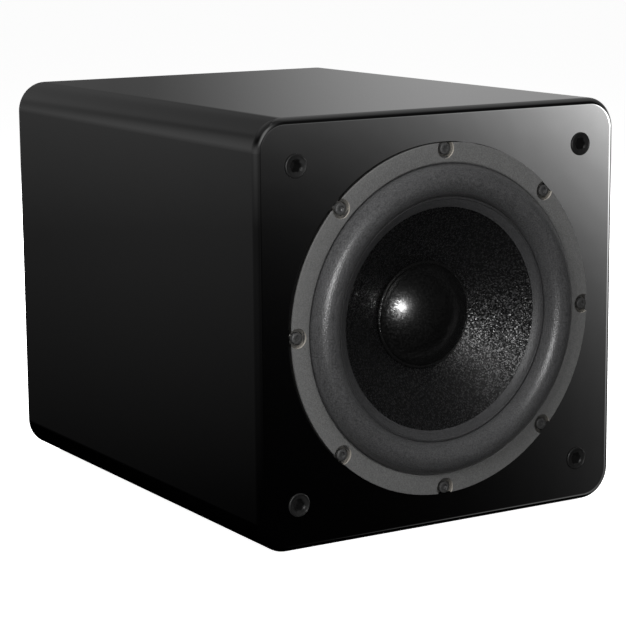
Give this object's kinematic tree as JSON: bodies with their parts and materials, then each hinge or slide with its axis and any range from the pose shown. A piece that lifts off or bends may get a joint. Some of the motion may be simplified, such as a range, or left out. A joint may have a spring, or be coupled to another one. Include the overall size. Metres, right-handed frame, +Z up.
{
  "type": "powered subwoofer",
  "caption": "Sealed powered subwoofer: gloss black cabinet with rounded long edges, long-throw driver with rubber surround, and a rear plate amplifier with knobs and sockets.",
  "frame": {"origin": "on the floor under the middle of the whole object", "axes": "+Z up, the driver faces -Y, the amplifier faces +Y, +X to the right as seen from the front"},
  "size_m": [0.37, 0.498, 0.372],
  "materials": {
    "lacquer": "piano-gloss black lacquer over fibreboard",
    "board": "bare fibreboard",
    "wadding": "loose polyester fibre",
    "rubber": "satin moulded rubber with a fine grain",
    "foam": "closed-cell foam strip",
    "ring": "matt grey rubberised trim ring",
    "casting": "cast aluminium, bare in the counterbores",
    "black_steel": "black oxide",
    "cone": "woven glass fibre with a thin gloss coat",
    "former": "polyimide film",
    "copper": "enamelled copper wire",
    "cloth": "resin-treated cloth",
    "zinc": "zinc-plated steel",
    "ferrite": "sintered ferrite",
    "plastic": "moulded black plastic",
    "plate": "black powder-coated aluminium",
    "heat_sink": "black anodised extrusion",
    "lamp": "clear blue lens",
    "circuit": "solder-masked laminate",
    "sleeve": "plain shrink sleeve",
    "winding": "yellow winding tape",
    "cable": "twin speaker lead"
  },
  "bodies": {
    "cabinet": {"amp_plate": "plate", "amp_screw_1": "black_steel", "amp_screw_2": "black_steel", "amp_screw_3": "black_steel", "amp_screw_4": "black_steel", "amp_screw_5": "black_steel", "amp_screw_6": "black_steel", "amp_seal": "foam", "cabinet_shell": "lacquer", "capacitor_left": "sleeve", "capacitor_right": "sleeve", "circuit_board": "circuit", "driver_basket": "casting", "driver_screw_1": "black_steel", "driver_screw_2": "black_steel", "driver_screw_3": "black_steel", "driver_screw_4": "black_steel", "driver_screw_5": "black_steel", "driver_screw_6": "black_steel", "driver_screw_7": "black_steel", "driver_screw_8": "black_steel", "foot_front_left": "rubber", "foot_front_right": "rubber", "foot_rear_left": "rubber", "foot_rear_right": "rubber", "grille_socket_bottom_left": "plastic", "grille_socket_bottom_right": "plastic", "grille_socket_top_left": "plastic", "grille_socket_top_right": "plastic", "heat_sink": "heat_sink", "inner_baffle": "board", "line_jacks": "plastic", "magnet": "ferrite", "mounting_seal": "foam", "power_inlet": "plastic", "power_lamp": "lamp", "power_switch_housing": "plastic", "rear_panel": "lacquer", "speaker_cable": "cable", "spider": "cloth", "surround": "rubber", "terminal_block": "plastic", "tinsel_lead_left": "copper", "tinsel_lead_right": "copper", "top_plate": "zinc", "transformer": "winding", "transformer_clamp": "zinc", "trim_ring": "ring", "wadding": "wadding", "window_brace": "board", "yoke": "zinc"},
    "cone_assembly": {"cone": "cone", "dust_cap": "cone", "voice_coil_former": "former", "voice_coil_winding": "copper"},
    "level_knob": {"level_knob": "plastic"},
    "crossover_knob": {"crossover_knob": "plastic"},
    "phase_knob": {"phase_knob": "plastic"},
    "standby_switch": {"standby_switch": "plastic"},
    "power_rocker": {"power_rocker": "plastic"}
  },
  "joints": [
    {"name": "cone_travel", "type": "slide", "parent": "cabinet", "child": "cone_assembly", "axis": [0, -1, 0], "range_m": [-0.01, 0.01], "stiffness_N_per_m": 4000, "deforming": ["surround", "spider", "tinsel_lead_left", "tinsel_lead_right"]},
    {"name": "level_knob_turn", "type": "hinge", "parent": "cabinet", "child": "level_knob", "pos_m": [-0.085, 0.24, 0.169], "axis": [0, 1, 0], "range_deg": [-150, 150]},
    {"name": "crossover_knob_turn", "type": "hinge", "parent": "cabinet", "child": "crossover_knob", "pos_m": [-0.035, 0.24, 0.169], "axis": [0, 1, 0], "range_deg": [-150, 150]},
    {"name": "phase_knob_turn", "type": "hinge", "parent": "cabinet", "child": "phase_knob", "pos_m": [0.015, 0.24, 0.169], "axis": [0, 1, 0], "range_deg": [-150, 150]},
    {"name": "standby_switch_slide", "type": "slide", "parent": "cabinet", "child": "standby_switch", "axis": [1, 0, 0], "range_m": [0, 0.004]},
    {"name": "power_rocker_tilt", "type": "hinge", "parent": "cabinet", "child": "power_rocker", "pos_m": [0.085, 0.239, 0.109], "axis": [1, 0, 0], "range_deg": [0, 18]}
  ]
}
